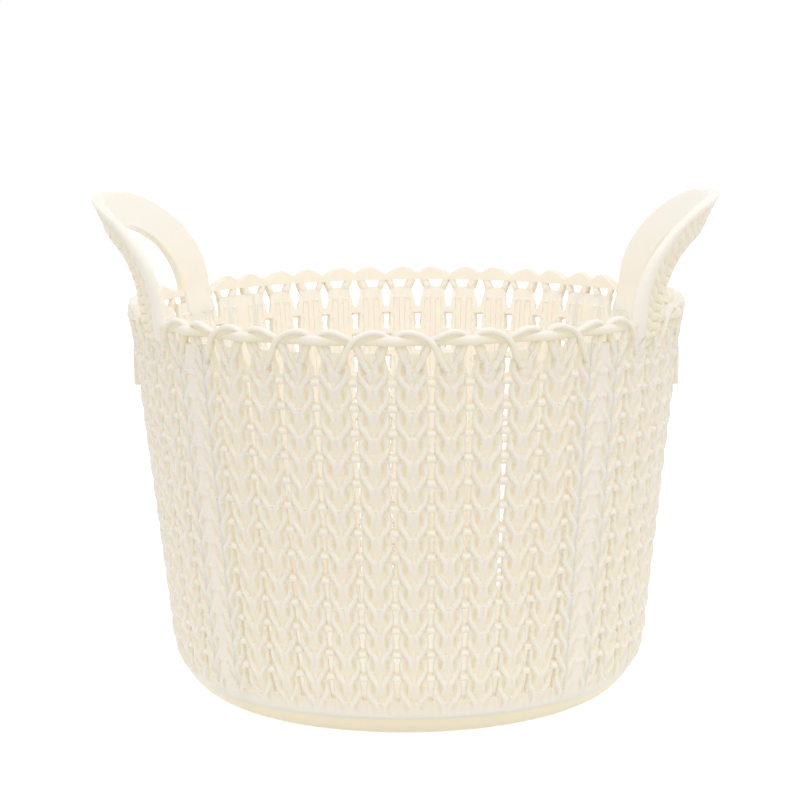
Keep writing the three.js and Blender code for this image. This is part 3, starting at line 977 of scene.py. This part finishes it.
def handle_section(outer, inner, along):
    """The band's cross section as (across, height, depth, painted shade), all round."""
    climb = max(outer[1] - handle_base, 0) / (handle_apex - handle_base)
    width = float(np.hypot(*(outer - inner)))
    edge = float(np.interp(climb, edge_climbs, edge_thicknesses))
    bead, hole = bead_round / width, hole_round / width
    section = [(t, 0.1 * math.sin(math.pi * t), 0.0) for t in np.linspace(1.3 * hole, 1 - 1.2 * bead, 7)]
    for turn in np.linspace(-75, 90, 9):
        lift = bead_round if turn < 0 else edge - bead_round
        angle = math.radians(turn)
        section.append((1 - bead + bead * math.cos(angle), lift + bead_round * math.sin(angle), 0.0))
    border = 1 - bead_width / width
    for t in np.linspace(1 - 1.4 * bead, border, 4):
        sag = (1 - 1.4 * bead - t) * width
        section.append((t, edge - 0.28 * sag**1.6, 0.1 * sag))
    has_stitches = float(ease(along, stitches_end - 1, stitches_end + 1))
    is_leg = 1 - float(ease(climb, 0.9, 1.0))
    for t in np.linspace(border - 0.02, hole, 25):
        height = float(inner[1] + (outer[1] - inner[1]) * t)
        face = float(np.interp(height, face_heights, face_thicknesses))
        face += (edge - face) * float(ease(t, border - 0.3, border)) * (1 - is_leg * 0.6)
        face -= hole_drop * (0.3 + 0.7 * is_leg) * float(ease(t, 0.22, 0))
        swell = stitch_swell(t, along, width)
        level = 0.35 * swell - stitch_relief * (1 - swell)
        # Painted shade: the outer face is painted half warm, and fully warm in the stitches' grooves.
        section.append((t, face + level * has_stitches, 0.5 + 0.5 * (1 - swell) * has_stitches))
    last = section[-1][1]
    for turn in np.linspace(75, -90, 6):
        lift = hole_round if turn < 0 else max(last - hole_round, hole_round)
        angle = math.radians(turn)
        section.append((hole - hole * math.cos(angle), lift + hole_round * math.sin(angle), 0.1))
    return [(*(inner + (outer - inner) * t), depth, shade) for t, depth, shade in section]


def handle_stations():
    """Pairs of (outer edge, hole edge) points along the loop, from one root to the other."""
    edge = np.column_stack(arch_line(outer_arch, even_turns(outer_arch, handle_steps + 1)))
    hole = np.column_stack(arch_line(finger_arch, even_turns(outer_arch, handle_steps + 1)))
    roots = np.linspace(handle_root, handle_base, root_steps, endpoint=False)
    first = [(np.array([edge[0, 0], z]), np.array([hole[0, 0], z])) for z in roots]
    last = [(np.array([edge[-1, 0], z]), np.array([hole[-1, 0], z])) for z in roots[::-1]]
    return first + list(zip(edge, hole)) + last


def handle_loop(name, side):
    stations = handle_stations()
    middle_line = np.array([(outer + inner) / 2 for outer, inner in stations])
    length = np.concatenate([[0], np.cumsum(np.hypot(*np.diff(middle_line, axis=0).T))])
    points, shades = [], []
    for (outer, inner), along in zip(stations, length - length[-1] / 2):
        sink = root_sink * float(ease(outer[1], handle_base + 1.2, handle_root + 2.5))
        for across, height, depth, shade in handle_section(outer, inner, abs(along)):
            radius = handle_radius(height) + max(depth - sink, 0.05 if sink else depth)
            points.append((side * math.sqrt(radius**2 - across**2), side * across, height))
            shades.append(shade)
    size = len(points) // len(stations)
    faces = ring_faces(len(stations), size)
    faces += [tuple(range(size)), tuple(reversed(range(len(points) - size, len(points))))]
    piece = joined(name, [(np.array(points), faces, np.array(shades))], 60)
    piece.data.materials.append(smooth_cream)
    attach(piece, "root")
    return piece


handles = [handle_loop("handle_loop_right", 1), handle_loop("handle_loop_left", -1)]
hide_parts("handle_right")
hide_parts("handle_left")


# Side plates: a bare raised wedge moulded on the wall under each handle. It is
# flush with the knit at its top and stands proud at its lower edge.
plate_width = 29.0
plate_low, plate_high = (corner.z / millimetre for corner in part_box("side_plate_right"))
plate_proud = 1.7
plate_round = 2.2
plate_least = 0.35
plate_painted_shade = 0.45
plate_edge = ((0, -1.4), (0, 0.55), (0.1, 0.8), (0.35, 0.95), (0.7, 1.0))


def side_plate(name, column):
    middle = (plate_low + plate_high) / 2
    half_height = (plate_high - plate_low) / 2
    rings = []
    outline = []
    for corner, (cx, cz) in enumerate([(1, 1), (-1, 1), (-1, -1), (1, -1)]):
        for turn in np.linspace(0, math.pi / 2, 6):
            angle = corner * math.pi / 2 + turn
            outline.append((cx * (plate_width / 2 - plate_round) + plate_round * math.cos(angle),
                            cz * (half_height - plate_round) + plate_round * math.sin(angle)))
    outline = np.array(outline)
    for inset, rise in plate_edge:
        scale = 1 - inset / np.array([plate_width / 2, half_height])
        ring = outline * scale
        share = (half_height - ring[:, 1]) / (2 * half_height)
        proud = plate_least + (plate_proud - plate_least) * share
        depth = -proud * rise if rise > 0 else np.full(len(ring), -rise)
        place = column + ring[:, 0] / (rim_radius * column_angle)
        rings.append(wall_place(place, middle + ring[:, 1], depth))
    size = len(outline)
    faces = ring_faces(len(rings), size, flipped=True)
    faces.append(tuple(reversed(range(size))))
    lid = (len(rings) - 1) * size
    half = size // 2
    for j in range(half - 1):
        faces.append((lid + j, lid + j + 1, lid + size - 2 - j, lid + size - 1 - j))
    piece = mesh_piece(name, np.vstack(rings), faces, 40)
    # Painted shade: the whole plate is painted partway to the warm shade colour.
    mark_painted_shade(piece, np.full(len(piece.data.vertices), plate_painted_shade))
    piece.data.materials.append(smooth_cream)
    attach(piece, "root")
    return piece


plates = [
    side_plate("bare_plate_right", quarter_columns),
    side_plate("bare_plate_left", -quarter_columns),
]
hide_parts("side_plate_right")
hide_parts("side_plate_left")


# Studio: a white floor that glows near the basket and runs on into a white
# background, even light from all round, a softbox above and in front, and a small
# lamp hidden in the basket for the light that its thin walls let through.
def white_to_camera(tree, plain, bright):
    """Strength that a light or a floor has for the camera and reflections, and for everything else."""
    nodes, links = tree.nodes, tree.links
    path = nodes.new("ShaderNodeLightPath")
    seen = path.outputs["Is Camera Ray"]
    for ray in ("Is Glossy Ray", "Is Transmission Ray"):
        either = nodes.new("ShaderNodeMath")
        either.operation = "MAXIMUM"
        links.new(seen, either.inputs[0])
        links.new(path.outputs[ray], either.inputs[1])
        seen = either.outputs[0]
    choice = nodes.new("ShaderNodeMapRange")
    choice.inputs["To Min"].default_value = plain
    choice.inputs["To Max"].default_value = bright
    links.new(seen, choice.inputs["Value"])
    return choice.outputs["Result"]


room_light = 0.94
floor_bounce = 0.28
far_bounce = 0.04
bounce_near = 0.11
bounce_far = 0.36
floor_glow = 0.75
floor_half_width = 4.0
world = bpy.data.worlds.new("studio_light")
bpy.context.scene.world = world
world.use_nodes = True
surround = world.node_tree.nodes["Background"]
surround.inputs["Color"].default_value = (1, 1, 1, 1)
world.node_tree.links.new(white_to_camera(world.node_tree, room_light, 1.0), surround.inputs["Strength"])

floor_mesh = bpy.data.meshes.new("studio_floor")
corners = [(-1, -1, 0), (1, -1, 0), (1, 1, 0), (-1, 1, 0)]
floor_mesh.from_pydata([Vector(c) * floor_half_width for c in corners], [], [(0, 1, 2, 3)])
studio_floor = placed("studio_floor", floor_mesh)
floor_paint = bpy.data.materials.new("studio_white")
floor_paint.use_nodes = True
paint = floor_paint.node_tree.nodes["Principled BSDF"]
paint.inputs["Base Color"].default_value = (0.6, 0.6, 0.6, 1)
paint.inputs["Roughness"].default_value = 0.9
paint.inputs["Specular IOR Level"].default_value = 0.1
paint.inputs["Emission Color"].default_value = (1, 1, 1, 1)
floor_nodes, floor_links = floor_paint.node_tree.nodes, floor_paint.node_tree.links
floor_place = floor_nodes.new("ShaderNodeTexCoord")
from_basket = floor_nodes.new("ShaderNodeVectorMath")
from_basket.operation = "LENGTH"
floor_links.new(floor_place.outputs["Object"], from_basket.inputs[0])
bounce = floor_nodes.new("ShaderNodeMapRange")
reaches = (bounce_near, bounce_far, floor_bounce, far_bounce)
for socket, value in zip(("From Min", "From Max", "To Min", "To Max"), reaches):
    bounce.inputs[socket].default_value = value
floor_links.new(from_basket.outputs["Value"], bounce.inputs["Value"])
floor_strength = white_to_camera(floor_paint.node_tree, floor_bounce, floor_glow)
floor_links.new(bounce.outputs["Result"], floor_strength.node.inputs["To Min"])
floor_links.new(floor_strength, paint.inputs["Emission Strength"])
floor_mesh.materials.append(floor_paint)

softbox_data = bpy.data.lights.new("softbox", "AREA")
softbox_data.energy = 2.0
softbox_data.size = 0.7
softbox = placed("softbox", softbox_data)
softbox_place = Vector((0.2, -0.45, 1.1))
softbox_turn = softbox_place.to_track_quat("Z", "Y").to_matrix().to_4x4()
softbox.matrix_world = Matrix.Translation(softbox_place) @ softbox_turn
inner_lamp_data = bpy.data.lights.new("inner_lamp", "POINT")
inner_lamp_data.energy = 0.036
inner_lamp_data.color = (0.88, 0.96, 1.0)
inner_lamp_data.shadow_soft_size = 0.04
inner_lamp = placed("inner_lamp", inner_lamp_data)
inner_lamp.location = (0, 0, 0.09)
inner_lamp.visible_camera = False
bpy.context.scene.view_settings.view_transform = "Standard"
